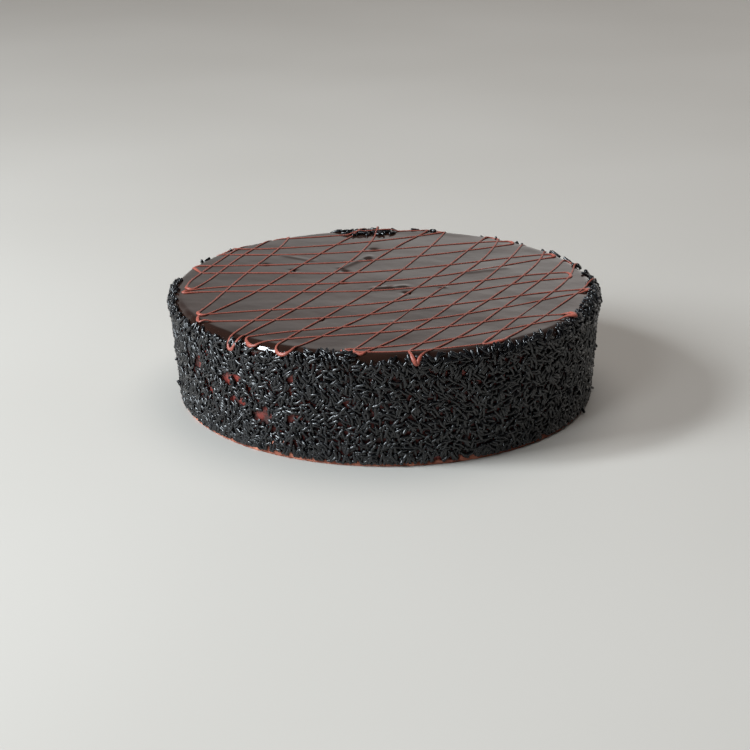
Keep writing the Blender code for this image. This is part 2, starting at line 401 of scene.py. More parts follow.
@dataclass
class Graph:
    """The node tree of a material or the world, with short calls to fill it."""

    owner: bpy.types.Material | bpy.types.World

    @classmethod
    def new(cls, name: str) -> "Graph":
        """Make a new material with its Principled shader.

        Args:
            name: the material's name.

        Returns:
            The material's graph.
        """
        material = bpy.data.materials.new(name)
        material.use_nodes = True
        return cls(material)

    @property
    def shader(self) -> bpy.types.Node:
        """The Principled shader."""
        return self.owner.node_tree.nodes["Principled BSDF"]

    def add(self, kind: str, **settings: object) -> bpy.types.Node:
        """Add a node and set its properties.

        Args:
            kind: the node's Blender type.
            settings: property values by name.

        Returns:
            The new node.
        """
        node = self.owner.node_tree.nodes.new(kind)
        for name, value in settings.items():
            setattr(node, name, value)
        return node

    def link(self, source: Socket, target: Socket) -> None:
        """Join two sockets."""
        self.owner.node_tree.links.new(source, target)

    def objects(self) -> Socket:
        """Return the Object coordinates."""
        return self.add("ShaderNodeTexCoord").outputs["Object"]

    def noise(self, grain: Grain) -> Socket:
        """Add a noise pattern on Object coordinates.

        Args:
            grain: the pattern's values.

        Returns:
            The pattern's value socket.
        """
        node = self.add("ShaderNodeTexNoise")
        self.link(self.objects(), node.inputs["Vector"])
        node.inputs["Scale"].default_value = grain.scale
        node.inputs["Detail"].default_value = grain.detail
        node.inputs["Roughness"].default_value = grain.rough
        return node.outputs["Fac"]

    def ramp(self, source: Socket, span: Pair, to: Pair) -> Socket:
        """Map a value from one range to another.

        Args:
            source: the value.
            span: the range it is read over.
            to: the range it becomes.

        Returns:
            The mapped value's socket.
        """
        node = self.add("ShaderNodeMapRange", interpolation_type="SMOOTHSTEP")
        self.link(source, node.inputs["Value"])
        for name, value in zip(("From Min", "From Max", "To Min", "To Max"), span + to):
            node.inputs[name].default_value = value
        return node.outputs["Result"]

    def mix(self, share: Socket, low: Colour | Socket, high: Colour | Socket) -> Socket:
        """Mix two colours.

        Args:
            share: the socket that says how much of the second shows.
            low: the first colour, or a socket that gives it.
            high: the second colour, or a socket that gives it.

        Returns:
            The mixed colour's socket.
        """
        node = self.add("ShaderNodeMix", data_type="RGBA")
        colours = [item for item in node.inputs if item.type == "RGBA"]
        self.link(share, node.inputs["Factor"])
        for target, value in zip(colours, (low, high)):
            if isinstance(value, tuple):
                target.default_value = (*value, 1.0)
            else:
                self.link(value, target)
        return next(item for item in node.outputs if item.type == "RGBA")

    def bump(self, relief: Relief, under: Socket | None = None) -> Socket:
        """Add a bumped normal.

        Args:
            relief: the pattern that stands up.
            under: a normal that it is laid over.

        Returns:
            The normal's socket.
        """
        node = self.add("ShaderNodeBump")
        node.inputs["Strength"].default_value = relief.strength
        node.inputs["Distance"].default_value = relief.depth
        self.link(self.noise(relief.grain), node.inputs["Height"])
        if under is not None:
            self.link(under, node.inputs["Normal"])
        return node.outputs["Normal"]


@dataclass(frozen=True)
class GlazeFinish:
    """Poured dark glaze: a mirror-like top over a duller, redder side."""

    top: Colour = (0.016, 0.0075, 0.0055)
    top_light: Colour = (0.024, 0.0112, 0.0080)
    side: Colour = (0.25, 0.038, 0.027)
    side_dark: Colour = (0.045, 0.012, 0.010)
    refraction: float = 1.56
    side_from: float = 44.0 * MM
    side_to: float = 47.0 * MM
    patches: Grain = Grain(38.0, 3.0, 0.55)
    patch_span: Pair = (0.35, 0.7)
    stains: Grain = Grain(190.0, 3.0, 0.6)
    stain_span: Pair = (0.40, 0.62)
    smears: Grain = Grain(24.0, 4.0, 0.6)
    smear_span: Pair = (0.4, 0.75)
    top_roughness: Pair = (0.045, 0.12)
    side_roughness: float = 0.5
    ripples: Relief = Relief(Grain(70.0, 2.0, 0.4), 0.35, 0.0006)
    pits: Relief = Relief(Grain(420.0, 2.0, 0.5), 0.10, 0.0001)

    def build(self) -> bpy.types.Material:
        """Mix the material.

        Returns:
            The material.
        """
        graph = Graph.new("dark_glaze")
        patches = graph.ramp(graph.noise(self.patches), self.patch_span, FULL)
        top = graph.mix(patches, self.top, self.top_light)
        stains = graph.ramp(graph.noise(self.stains), self.stain_span, FULL)
        side = graph.mix(stains, self.side, self.side_dark)
        split = graph.add("ShaderNodeSeparateXYZ")
        graph.link(graph.objects(), split.inputs["Vector"])
        upper = graph.ramp(split.outputs["Z"], (self.side_from, self.side_to), FULL)
        graph.link(graph.mix(upper, side, top), graph.shader.inputs["Base Color"])
        smears = graph.ramp(graph.noise(self.smears), self.smear_span, self.top_roughness)
        rough = graph.add("ShaderNodeMix", data_type="FLOAT")
        graph.link(upper, rough.inputs["Factor"])
        rough.inputs["A"].default_value = self.side_roughness
        graph.link(smears, rough.inputs["B"])
        graph.link(rough.outputs["Result"], graph.shader.inputs["Roughness"])
        ripples = graph.bump(self.ripples)
        graph.link(graph.bump(self.pits, ripples), graph.shader.inputs["Normal"])
        graph.shader.inputs["IOR"].default_value = self.refraction
        return graph.owner


@dataclass(frozen=True)
class DrizzleFinish:
    """Set milk chocolate: satin, reddish brown, paler where it lies thick."""

    thin: Colour = (0.205, 0.060, 0.043)
    thick: Colour = (0.33, 0.082, 0.056)
    roughness: Pair = (0.32, 0.48)
    refraction: float = 1.42
    mottle: Grain = Grain(900.0, 3.0, 0.6)
    mottle_span: Pair = (0.35, 0.7)
    mottle_share: Pair = (0.0, 0.35)
    sheen: Grain = Grain(300.0)
    sheen_span: Pair = (0.3, 0.7)
    grit: Relief = Relief(Grain(1500.0), 0.25, 0.0001)

    def build(self) -> bpy.types.Material:
        """Mix the material.

        Returns:
            The material.
        """
        graph = Graph.new("milk_drizzle")
        depth = graph.add("ShaderNodeAttribute", attribute_name="tone").outputs["Fac"]
        body = graph.mix(depth, self.thin, self.thick)
        mottle = graph.ramp(graph.noise(self.mottle), self.mottle_span, self.mottle_share)
        graph.link(graph.mix(mottle, body, self.thin), graph.shader.inputs["Base Color"])
        rough = graph.ramp(graph.noise(self.sheen), self.sheen_span, self.roughness)
        graph.link(rough, graph.shader.inputs["Roughness"])
        graph.link(graph.bump(self.grit), graph.shader.inputs["Normal"])
        graph.shader.inputs["IOR"].default_value = self.refraction
        return graph.owner


@dataclass(frozen=True)
class VermicelliFinish:
    """Near-black chocolate rods, each a little lighter or darker than the next."""

    dark: Colour = (0.0030, 0.0033, 0.0041)
    light: Colour = (0.0105, 0.0103, 0.0118)
    roughness: Pair = (0.20, 0.30)
    refraction: float = 1.56
    bloom: Grain = Grain(1400.0, 3.0, 0.6)
    bloom_span: Pair = (0.5, 0.8)
    bloom_share: Pair = (0.0, 0.5)
    sheen: Grain = Grain(600.0)
    sheen_span: Pair = (0.3, 0.7)
    grit: Relief = Relief(Grain(1900.0), 0.3, 0.0001)

    def build(self) -> bpy.types.Material:
        """Mix the material.

        Returns:
            The material.
        """
        graph = Graph.new("dark_vermicelli")
        tone = graph.add("ShaderNodeAttribute", attribute_name="tone").outputs["Fac"]
        body = graph.mix(tone, self.dark, self.light)
        bloom = graph.ramp(graph.noise(self.bloom), self.bloom_span, self.bloom_share)
        graph.link(graph.mix(bloom, body, self.light), graph.shader.inputs["Base Color"])
        rough = graph.ramp(graph.noise(self.sheen), self.sheen_span, self.roughness)
        graph.link(rough, graph.shader.inputs["Roughness"])
        graph.link(graph.bump(self.grit), graph.shader.inputs["Normal"])
        graph.shader.inputs["IOR"].default_value = self.refraction
        return graph.owner


@dataclass(frozen=True)
class SpongeFinish:
    """Bare chocolate sponge where the coat stops short of the foot."""

    crust: Colour = (0.26, 0.070, 0.040)
    crumb: Colour = (0.56, 0.20, 0.125)
    shade: Grain = Grain(120.0)
    shade_span: Pair = (0.35, 0.65)
    roughness: float = 0.8
    crumbs: Relief = Relief(Grain(900.0, 4.0, 0.65), 0.8, 0.0004)

    def build(self) -> bpy.types.Material:
        """Mix the material.

        Returns:
            The material.
        """
        graph = Graph.new("bare_sponge")
        shade = graph.ramp(graph.noise(self.shade), self.shade_span, FULL)
        graph.link(graph.mix(shade, self.crust, self.crumb), graph.shader.inputs["Base Color"])
        graph.shader.inputs["Roughness"].default_value = self.roughness
        graph.link(graph.bump(self.crumbs), graph.shader.inputs["Normal"])
        return graph.owner


@dataclass(frozen=True)
class FloorFinish:
    """Plain pale studio floor."""

    low: Colour = (0.445, 0.418, 0.385)
    high: Colour = (0.475, 0.448, 0.415)
    shade: Grain = Grain(2.5)
    shade_span: Pair = (0.3, 0.7)
    roughness: float = 0.6

    def build(self) -> bpy.types.Material:
        """Mix the material.

        Returns:
            The material.
        """
        graph = Graph.new("pale_floor")
        shade = graph.ramp(graph.noise(self.shade), self.shade_span, FULL)
        graph.link(graph.mix(shade, self.low, self.high), graph.shader.inputs["Base Color"])
        graph.shader.inputs["Roughness"].default_value = self.roughness
        return graph.owner


def link_form(name: str, form: bmesh.types.BMesh, finish: bpy.types.Material) -> bpy.types.Object:
    """Make an object of a finished form.

    Args:
        name: the piece's name.
        form: the bmesh, which is freed.
        finish: its material.

    Returns:
        The linked object.
    """
    mesh = bpy.data.meshes.new(name)
    form.to_mesh(mesh)
    form.free()
    mesh.materials.append(finish)
    mesh.shade_smooth()
    piece = bpy.data.objects.new(name, mesh)
    bpy.context.scene.collection.objects.link(piece)
    return piece


def turn_round(
    shape: bmesh.types.BMesh, points: list[bmesh.types.BMVert], sides: int, closed: bool
) -> None:
    """Join points to a line and turn it once round the upright axis.

    Args:
        shape: the bmesh that holds the points.
        points: the section's points in order.
        sides: how many steps the turn has.
        closed: whether the last point joins the first.
    """
    line = points + points[:1] if closed else points
    edges = [shape.edges.new(pair) for pair in zip(line, line[1:])]
    bmesh.ops.spin(
        shape, geom=points + edges, cent=(0, 0, 0), axis=(0, 0, 1),
        angle=math.tau, steps=sides, use_merge=True,
    )


@dataclass
class GlazedBody:
    """The cake under its poured glaze, which replaces the plain solid."""

    form: CakeForm
    finish: GlazeFinish = field(default_factory=GlazeFinish)
    sides: int = 480
    top_rings: int = 84
    rim_rings: int = 12
    wall_rings: int = 16
    pole_merge: float = 0.001 * MM
    rim_band: float = 8 * MM
    rim_wave: float = 0.25 * MM
    rim_waves: tuple[Wave, ...] = (Wave(9.0, 2.2, 1.0), Wave(24.0, 5.9, 0.5))
    dents: tuple[tuple[float, float, float, float], ...] = (
        (-5.7, 58.7, 2.2, -0.50), (-8.5, 41.6, 2.0, -0.50), (-19.1, 21.6, 2.0, -0.45),
        (-20.1, 3.0, 1.8, -0.30), (2.9, -5.0, 2.2, 0.40), (9.9, -13.0, 2.0, -0.50),
        (-58.1, 33.0, 1.8, -0.35), (-44.1, 23.0, 1.8, -0.40), (-28.1, -51.0, 1.8, -0.35),
        (26.9, -4.0, 1.4, 0.30), (3.9, -54.0, 1.4, 0.25),
    )
    ridges: tuple[tuple[float, float, float, float, float, float], ...] = (
        (-8.1, 47.0, -21.1, 28.0, 1.8, 0.34), (-5.0, -5.0, 9.0, -2.0, 1.7, 0.30),
        (-50.0, 49.0, -36.0, 40.0, 1.8, 0.16), (40.0, 20.0, 58.0, 27.0, 2.4, 0.16),
    )

    def outline(self) -> list[Pair]:
        """Draw the section from the middle of the top to the middle of the foot.

        Returns:
            Radius and height of each point.
        """
        form = self.form
        points = [(0.0, form.height)]
        for step in range(1, self.top_rings + 1):
            points.append((form.flat_radius * step / self.top_rings, form.height))
        for step in range(1, self.rim_rings + 1):
            turned = math.pi / 2 * step / self.rim_rings
            points.append((
                form.flat_radius + form.rounding * math.sin(turned),
                form.rim_foot + form.rounding * math.cos(turned),
            ))
        for step in range(1, self.wall_rings + 1):
            height = form.rim_foot * (1.0 - step / self.wall_rings)
            points.append((form.wall_radius(height), height))
        points.append((0.0, 0.0))
        return points

    def relief(self, place: Vector) -> float:
        """Add up what the dents and smeared ridges do to the top.

        Args:
            place: a place on the top.

        Returns:
            The added height in metres.
        """
        added = 0.0
        for x, y, size, depth in self.dents:
            gap = math.hypot(place.x - x * MM, place.y - y * MM) / (size * MM)
            added += depth * MM * math.exp(-gap * gap)
        for x0, y0, x1, y1, size, height in self.ridges:
            start = Vector((x0, y0)) * MM
            along = Vector((x1, y1)) * MM - start
            offset = place.xy - start
            share = min(max(offset.dot(along) / along.length_squared, 0.0), 1.0)
            gap = (offset - along * share).length / (size * MM)
            added += height * MM * math.exp(-gap * gap)
        return added

    def build(self) -> bpy.types.Object:
        """Turn the outline, set it out of round and let the top settle unevenly.

        Returns:
            The finished piece.
        """
        shape = bmesh.new()
        points = [shape.verts.new((radius, 0.0, height)) for radius, height in self.outline()]
        turn_round(shape, points, self.sides, closed=False)
        bmesh.ops.remove_doubles(shape, verts=shape.verts, dist=self.pole_merge)
        for vert in shape.verts:
            self.settle(vert)
        bmesh.ops.recalc_face_normals(shape, faces=shape.faces)
        piece = link_form("glazed_cake", shape, self.finish.build())
        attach(piece, "root")
        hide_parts("cake")
        return piece

    def settle(self, vert: bmesh.types.BMVert) -> None:
        """Move one point of the turned shape to its uneven place.

        Args:
            vert: the point.
        """
        form = self.form
        bearing = math.atan2(vert.co.y, vert.co.x)
        radius, height = math.hypot(vert.co.x, vert.co.y), vert.co.z
        rim = smooth_step((radius - form.flat_radius + self.rim_band) / self.rim_band)
        if height > form.rim_foot - form.lip_height:
            wave = sum(item.at(bearing) for item in self.rim_waves)
            radius += wave * self.rim_wave * rim
        vert.co = form.point(bearing, radius, height)
        if height > form.height - MERGE:
            inner = smooth_step((form.flat_radius - radius) / form.settle_band)
            vert.co.z += (form.swell(vert.co.x, vert.co.y) + self.relief(vert.co)) * inner


@dataclass
class BareFoot:
    """The strip of sponge that shows under the coat's ragged lower edge."""

    coat: "VermicelliCoat"
    finish: SpongeFinish = field(default_factory=SpongeFinish)
    sides: int = 720
    rings: int = 8
    stand_out: float = 1.25 * MM
    tuck: float = 0.9 * MM
    sunk: float = 0.6 * MM
    lowest_share: float = 0.02
    crumb_size: float = 1.6 * MM
    crumb_height: float = 0.35
    ripple: Wave = Wave(30.0, 7.7, 0.2)

    def outline(self) -> list[Pair]:
        """Draw the strip's section.

        Returns:
            Distances out of the wall, and shares of the strip's height.
        """
        outline = [(-self.sunk, self.lowest_share)]
        for step in range(self.rings + 1):
            share = step / self.rings
            bulge = self.stand_out * math.sqrt(max(1.0 - share ** 3, 0.0))
            outline.append((bulge, self.lowest_share + (1.0 - self.lowest_share) * share))
        outline.append((-self.sunk, 1.0))
        return outline

    def build(self) -> bpy.types.Object:
        """Turn a rough band as high as the coat leaves bare, its back sunk in the wall.

        Returns:
            The finished piece.
        """
        shape = bmesh.new()
        form = self.coat.form
        points = [
            shape.verts.new((form.foot_radius + out, 0.0, share * MM))
            for out, share in self.outline()
        ]
        turn_round(shape, points, self.sides, closed=True)
        for vert in shape.verts:
            bearing = math.atan2(vert.co.y, vert.co.x)
            out = math.hypot(vert.co.x, vert.co.y) - form.foot_radius
            height = vert.co.z / MM * (self.coat.foot_edge(bearing) + self.tuck)
            if out > 0.0:
                out += noise.noise(vert.co / self.crumb_size) * self.crumb_height * MM
                out += self.ripple.at(bearing) * MM
            vert.co = form.point(bearing, form.wall_radius(height) + out, height)
        bmesh.ops.recalc_face_normals(shape, faces=shape.faces)
        piece = link_form("bare_foot", shape, self.finish.build())
        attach(piece, "root")
        return piece


@dataclass
class DrizzlePass:
    """One zig-zag pass of drizzle over the top, and over the rods that lie on the rim."""

    form: CakeForm
    coat: "VermicelliCoat"
    which: Pass
    near_first: bool
    faint: tuple[tuple[int, float], ...] = ()
    heavy: tuple[int, ...] = ()
    heavy_weight: float = 1.9
    width: float = 0.92 * MM
    turn_width: float = 1.75 * MM
    turn_spread: float = 4.0 * MM
    faint_spread: float = 9.0 * MM
    spacing: float = 1.0 * MM
    wobble: float = 0.22 * MM
    lift: float = 0.0
    sides: int = 10
    ease: int = 3
    smoothings: int = 4
    waver_size: float = 22 * MM
    waver_seed: float = 7.3
    roundness: Pair = (0.34, 0.06)
    line_tone: float = 0.25
    faint_thinning: float = 0.55
    ripples: tuple[Pair, ...] = ((9.0 * MM, 0.22), (2.5 * MM, 0.10))

    def plan(self) -> tuple[list[Vector], list[float]]:
        """Lay out the whole pass on the unrolled top.

        Returns:
            Evenly spaced points, and for each how much it is thickened, from -1 where
            the line is faint to 1 at the middle of a turn.
        """
        strokes = STROKES[self.which]
        curves = []
        for index, stroke in enumerate(strokes):
            curve = self.waver(stroke.curve(self.spacing), index)
            if (index % 2 == 0) != self.near_first:
                curve.reverse()
            curves.append(curve)
        points, marks = [], []
        for index, curve in enumerate(curves):
            points += curve
            if index + 1 < len(curves):
                turn = self.turn(curve[-1], curves[index + 1][0], strokes[index].swing * MM)
                weight = self.heavy_weight if index in self.heavy else 1.0
                marks.append((turn[len(turn) // 2], weight))
                points += turn[1:-1]
        faints = [
            curves[number][round(share * (len(curves[number]) - 1))]
            for number, share in self.faint
        ]
        points = self.smooth(points)
        weights = []
        for point in points:
            weight = max(
                strength * math.exp(-((point - mark).length / self.turn_spread) ** 2)
                for mark, strength in marks
            )
            for place in faints:
                gap = (point - place).length / self.faint_spread
                weight -= math.exp(-gap * gap)
            weights.append(weight)
        return points, weights

    def waver(self, curve: list[Vector], index: int) -> list[Vector]:
        """Give a stroke the small unsteadiness of the hand.

        Args:
            curve: the stroke's points.
            index: which stroke of the pass it is.

        Returns:
            The moved points.
        """
        side = (curve[-1] - curve[0]).cross(UP).normalized()
        moved = []
        for step, point in enumerate(curve):
            along = step * self.spacing / self.waver_size
            place = Vector((along, index * self.waver_seed, self.width / MM))
            moved.append(point + side * noise.noise(place) * self.wobble)
        return moved

    def turn(self, start: Vector, end: Vector, swing: float) -> list[Vector]:
        """Swing out from the end of one stroke to the start of the next.

        Args:
            start: where the turn begins.
            end: where it ends.
            swing: how far out it loops, in metres.

        Returns:
            The turn's points.
        """
        middle, half = (start + end) / 2, (end - start) / 2
        out = middle.normalized() * swing
        steps = max(int((half.length + swing) * 2 / self.spacing), 6)
        points = []
        for step in range(steps + 1):
            turned = math.pi * step / steps
            points.append(middle - half * math.cos(turned) + out * math.sin(turned))
        return points

    def lifts(self, plan: list[Vector]) -> list[float]:
        """Find how far the rods under the line hold it up, eased along it.

        Args:
            plan: the line's points on the unrolled top.

        Returns:
            The height for each point.
        """
        raw = [self.coat.depth_at(point) for point in plan]
        held = [max(raw[max(index - 1, 0):index + 2]) for index in range(len(raw))]
        eased = []
        for index in range(len(held)):
            span = held[max(index - self.ease, 0):index + self.ease + 1]
            eased.append(sum(span) / len(span))
        return eased

    def smooth(self, points: list[Vector]) -> list[Vector]:
        """Round the corners where strokes run into turns.

        Args:
            points: the pass's points.

        Returns:
            The rounded points.
        """
        for _ in range(self.smoothings):
            points = [points[0]] + [
                before * 0.25 + here * 0.5 + after * 0.25
                for before, here, after in zip(points, points[1:], points[2:])
            ] + [points[-1]]
        return points

    def build(self, finish: bpy.types.Material) -> bpy.types.Object:
        """Wrap a strip of faces round the pass and lay it on the glaze.

        Args:
            finish: the drizzle's material.

        Returns:
            The finished piece.
        """
        plan, weights = self.plan()
        frames = [self.form.glaze_frame(math.atan2(p.y, p.x), p.length) for p in plan]
        shape = bmesh.new()
        tone = shape.verts.layers.float.new("tone")
        last = len(frames) - 1
        lifts = self.lifts(plan)
        bmesh.ops.create_grid(shape, x_segments=last, y_segments=self.sides, size=0.5)
        for vert in shape.verts:
            index = round((vert.co.x + 0.5) * last)
            turned = math.tau * (vert.co.y + 0.5)
            place, normal = frames[index]
            before = frames[max(index - 1, 0)][0]
            after = frames[min(index + 1, last)][0]
            side = (after - before).cross(normal).normalized()
            width = self.width_at(plan[index], weights[index])
            ending = min(index, last - index) * self.spacing / width
            width *= math.sqrt(min(ending, 1.0))
            across = side * math.cos(turned) * width / 2
            held = self.lift + lifts[index]
            rounded = math.sin(turned) * width * self.roundness[0]
            rise = normal * (rounded + width * self.roundness[1] + held)
            vert.co = boxed(place + across + rise)
            thick = weights[index] * (1.0 - self.line_tone)
            vert[tone] = max(min(self.line_tone + thick, 1.0), 0.0)
        bmesh.ops.remove_doubles(shape, verts=shape.verts, dist=MERGE)
        bmesh.ops.recalc_face_normals(shape, faces=shape.faces)
        piece = link_form(self.which.value, shape, finish)
        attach(piece, "root")
        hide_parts("cake")
        return piece

    def width_at(self, point: Vector, weight: float) -> float:
        """Find the line's width, thicker in a turn and thinner where faint.

        Args:
            point: a point of the unrolled top.
            weight: how much it is thickened there, from -1.

        Returns:
            The width in metres.
        """
        ripple = sum(noise.noise(point / size) * depth for size, depth in self.ripples)
        if weight >= 0.0:
            width = self.width + (self.turn_width - self.width) * weight
        else:
            width = self.width * (1.0 + self.faint_thinning * max(weight, -1.0))
        return width * (1.0 + ripple)


@dataclass(frozen=True)
class Rod:
    """One vermicelli where it lies."""

    kind: Kind
    middle: Vector
    along: Vector
    normal: Vector
    thickness: float
    length: float
    tone: float
    flip: bool


@dataclass
class VermicelliKind:
    """The true-size form that all vermicelli of one kind are copies of."""

    kind: Kind
    length: float
    thickness: float
    bend: float
    sides: int = 6
    round_share: float = 0.22
    cuts: int = 3
    end_share: float = 0.9
    end_girth: float = 0.72
    shoulder_share: float = 0.3
    shoulder_girth: float = 0.97

    def template(self) -> bpy.types.Object:
        """Shape one rod along Z, with blunt round ends and a slight bend.

        Returns:
            The rod, which the scatter copies and then removes.
        """
        shape = bmesh.new()
        bmesh.ops.create_cone(
            shape, cap_ends=True, segments=self.sides, radius1=self.thickness / 2,
            radius2=self.thickness / 2, depth=self.length,
        )
        long_edges = [e for e in shape.edges if abs(e.verts[0].co.z - e.verts[1].co.z) > MM]
        bmesh.ops.subdivide_edges(shape, edges=long_edges, cuts=self.cuts, use_grid_fill=True)
        half = self.length / 2
        blunt = self.thickness * self.round_share
        for vert in shape.verts:
            share = vert.co.z / half
            if abs(share) > self.end_share:
                vert.co.xy *= self.end_girth
            elif abs(share) > self.shoulder_share:
                vert.co.z = math.copysign(half - blunt, share)
                vert.co.xy *= self.shoulder_girth
            reach = vert.co.z / half
            vert.co.x += self.bend * (0.5 - reach * reach)
        return link_form(f"{self.kind.value}_form", shape, bpy.data.materials["dark_vermicelli"])


class RodScatter:
    """Turns lists of rods into joined meshes, one piece for each kind."""

    def __init__(self, kinds: tuple[VermicelliKind, ...]) -> None:
        """Keep the kinds by name."""
        self.kinds = {item.kind: item for item in kinds}

    def points(self, rods: list[Rod], form: VermicelliKind) -> bpy.types.Object:
        """Make bare points that carry each rod's turn, size and tone.

        Args:
            rods: the rods of one kind.
            form: the form that is copied to them.

        Returns:
            The linked object, named for the kind.
        """
        shape = bmesh.new()
        for rod in rods:
            shape.verts.new(rod.middle)
        mesh = bpy.data.meshes.new(f"{form.kind.value}_points")
        shape.to_mesh(mesh)
        shape.free()
        turns, sizes, tones = [], [], []
        for rod in rods:
            side = rod.normal.cross(rod.along).normalized()
            if rod.flip:
                side.negate()
            level = rod.along.cross(side)
            turn = Matrix((side, level, rod.along)).transposed().to_quaternion()
            turns += list(turn)
            girth = rod.thickness / form.thickness
            sizes += [girth, girth, rod.length / form.length]
            tones.append(rod.tone)
        for name, kind, key, values in (
            ("turn", "QUATERNION", "value", turns),
            ("size", "FLOAT_VECTOR", "vector", sizes),
            ("tone", "FLOAT", "value", tones),
        ):
            mesh.attributes.new(name, kind, "POINT").data.foreach_set(key, values)
        holder = bpy.data.objects.new(form.kind.value, mesh)
        bpy.context.scene.collection.objects.link(holder)
        return holder

    def tree(self, template: bpy.types.Object) -> bpy.types.NodeTree:
        """Build the Geometry Nodes that put a copy of a form on each point.

        Args:
            template: the form.

        Returns:
            The node tree.
        """
        tree = bpy.data.node_groups.new(f"{template.name}_scatter", "GeometryNodeTree")
        tree.interface.new_socket("Geometry", in_out="INPUT", socket_type="NodeSocketGeometry")
        tree.interface.new_socket("Geometry", in_out="OUTPUT", socket_type="NodeSocketGeometry")
        made = tree.nodes.new
        entry, leave = made("NodeGroupInput"), made("NodeGroupOutput")
        source = made("GeometryNodeObjectInfo")
        source.inputs["Object"].default_value = template
        place = made("GeometryNodeInstanceOnPoints")
        real = made("GeometryNodeRealizeInstances")
        join = tree.links.new
        for name, kind, target in (
            ("turn", "QUATERNION", "Rotation"), ("size", "FLOAT_VECTOR", "Scale"),
        ):
            value = made("GeometryNodeInputNamedAttribute")
            value.data_type = kind
            value.inputs["Name"].default_value = name
            join(value.outputs["Attribute"], place.inputs[target])
        join(entry.outputs["Geometry"], place.inputs["Points"])
        join(source.outputs["Geometry"], place.inputs["Instance"])
        join(place.outputs["Instances"], real.inputs["Geometry"])
        join(real.outputs["Geometry"], leave.inputs["Geometry"])
        return tree

    def build(self, rods: list[Rod]) -> None:
        """Make every kind's piece.

        Args:
            rods: all rods of the coat.
        """
        for kind, form in self.kinds.items():
            mine = [rod for rod in rods if rod.kind is kind]
            template = form.template()
            holder = self.points(mine, form)
            scatter = holder.modifiers.new("scatter", "NODES")
            scatter.node_group = self.tree(template)
            graph = bpy.context.evaluated_depsgraph_get()
            mesh = bpy.data.meshes.new_from_object(holder.evaluated_get(graph))
            holder.modifiers.clear()
            bare = holder.data
            holder.data = mesh
            for name in ("turn", "size"):
                if name in mesh.attributes:
                    mesh.attributes.remove(mesh.attributes[name])
            mesh.name = kind.value
            bpy.data.meshes.remove(bare)
            bpy.data.node_groups.remove(bpy.data.node_groups[f"{template.name}_scatter"])
            bpy.data.objects.remove(template)
            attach(holder, "root")
            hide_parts("cake")
            LOG.info("%s: %d rods, %d faces", kind.value, len(mine), len(mesh.polygons))


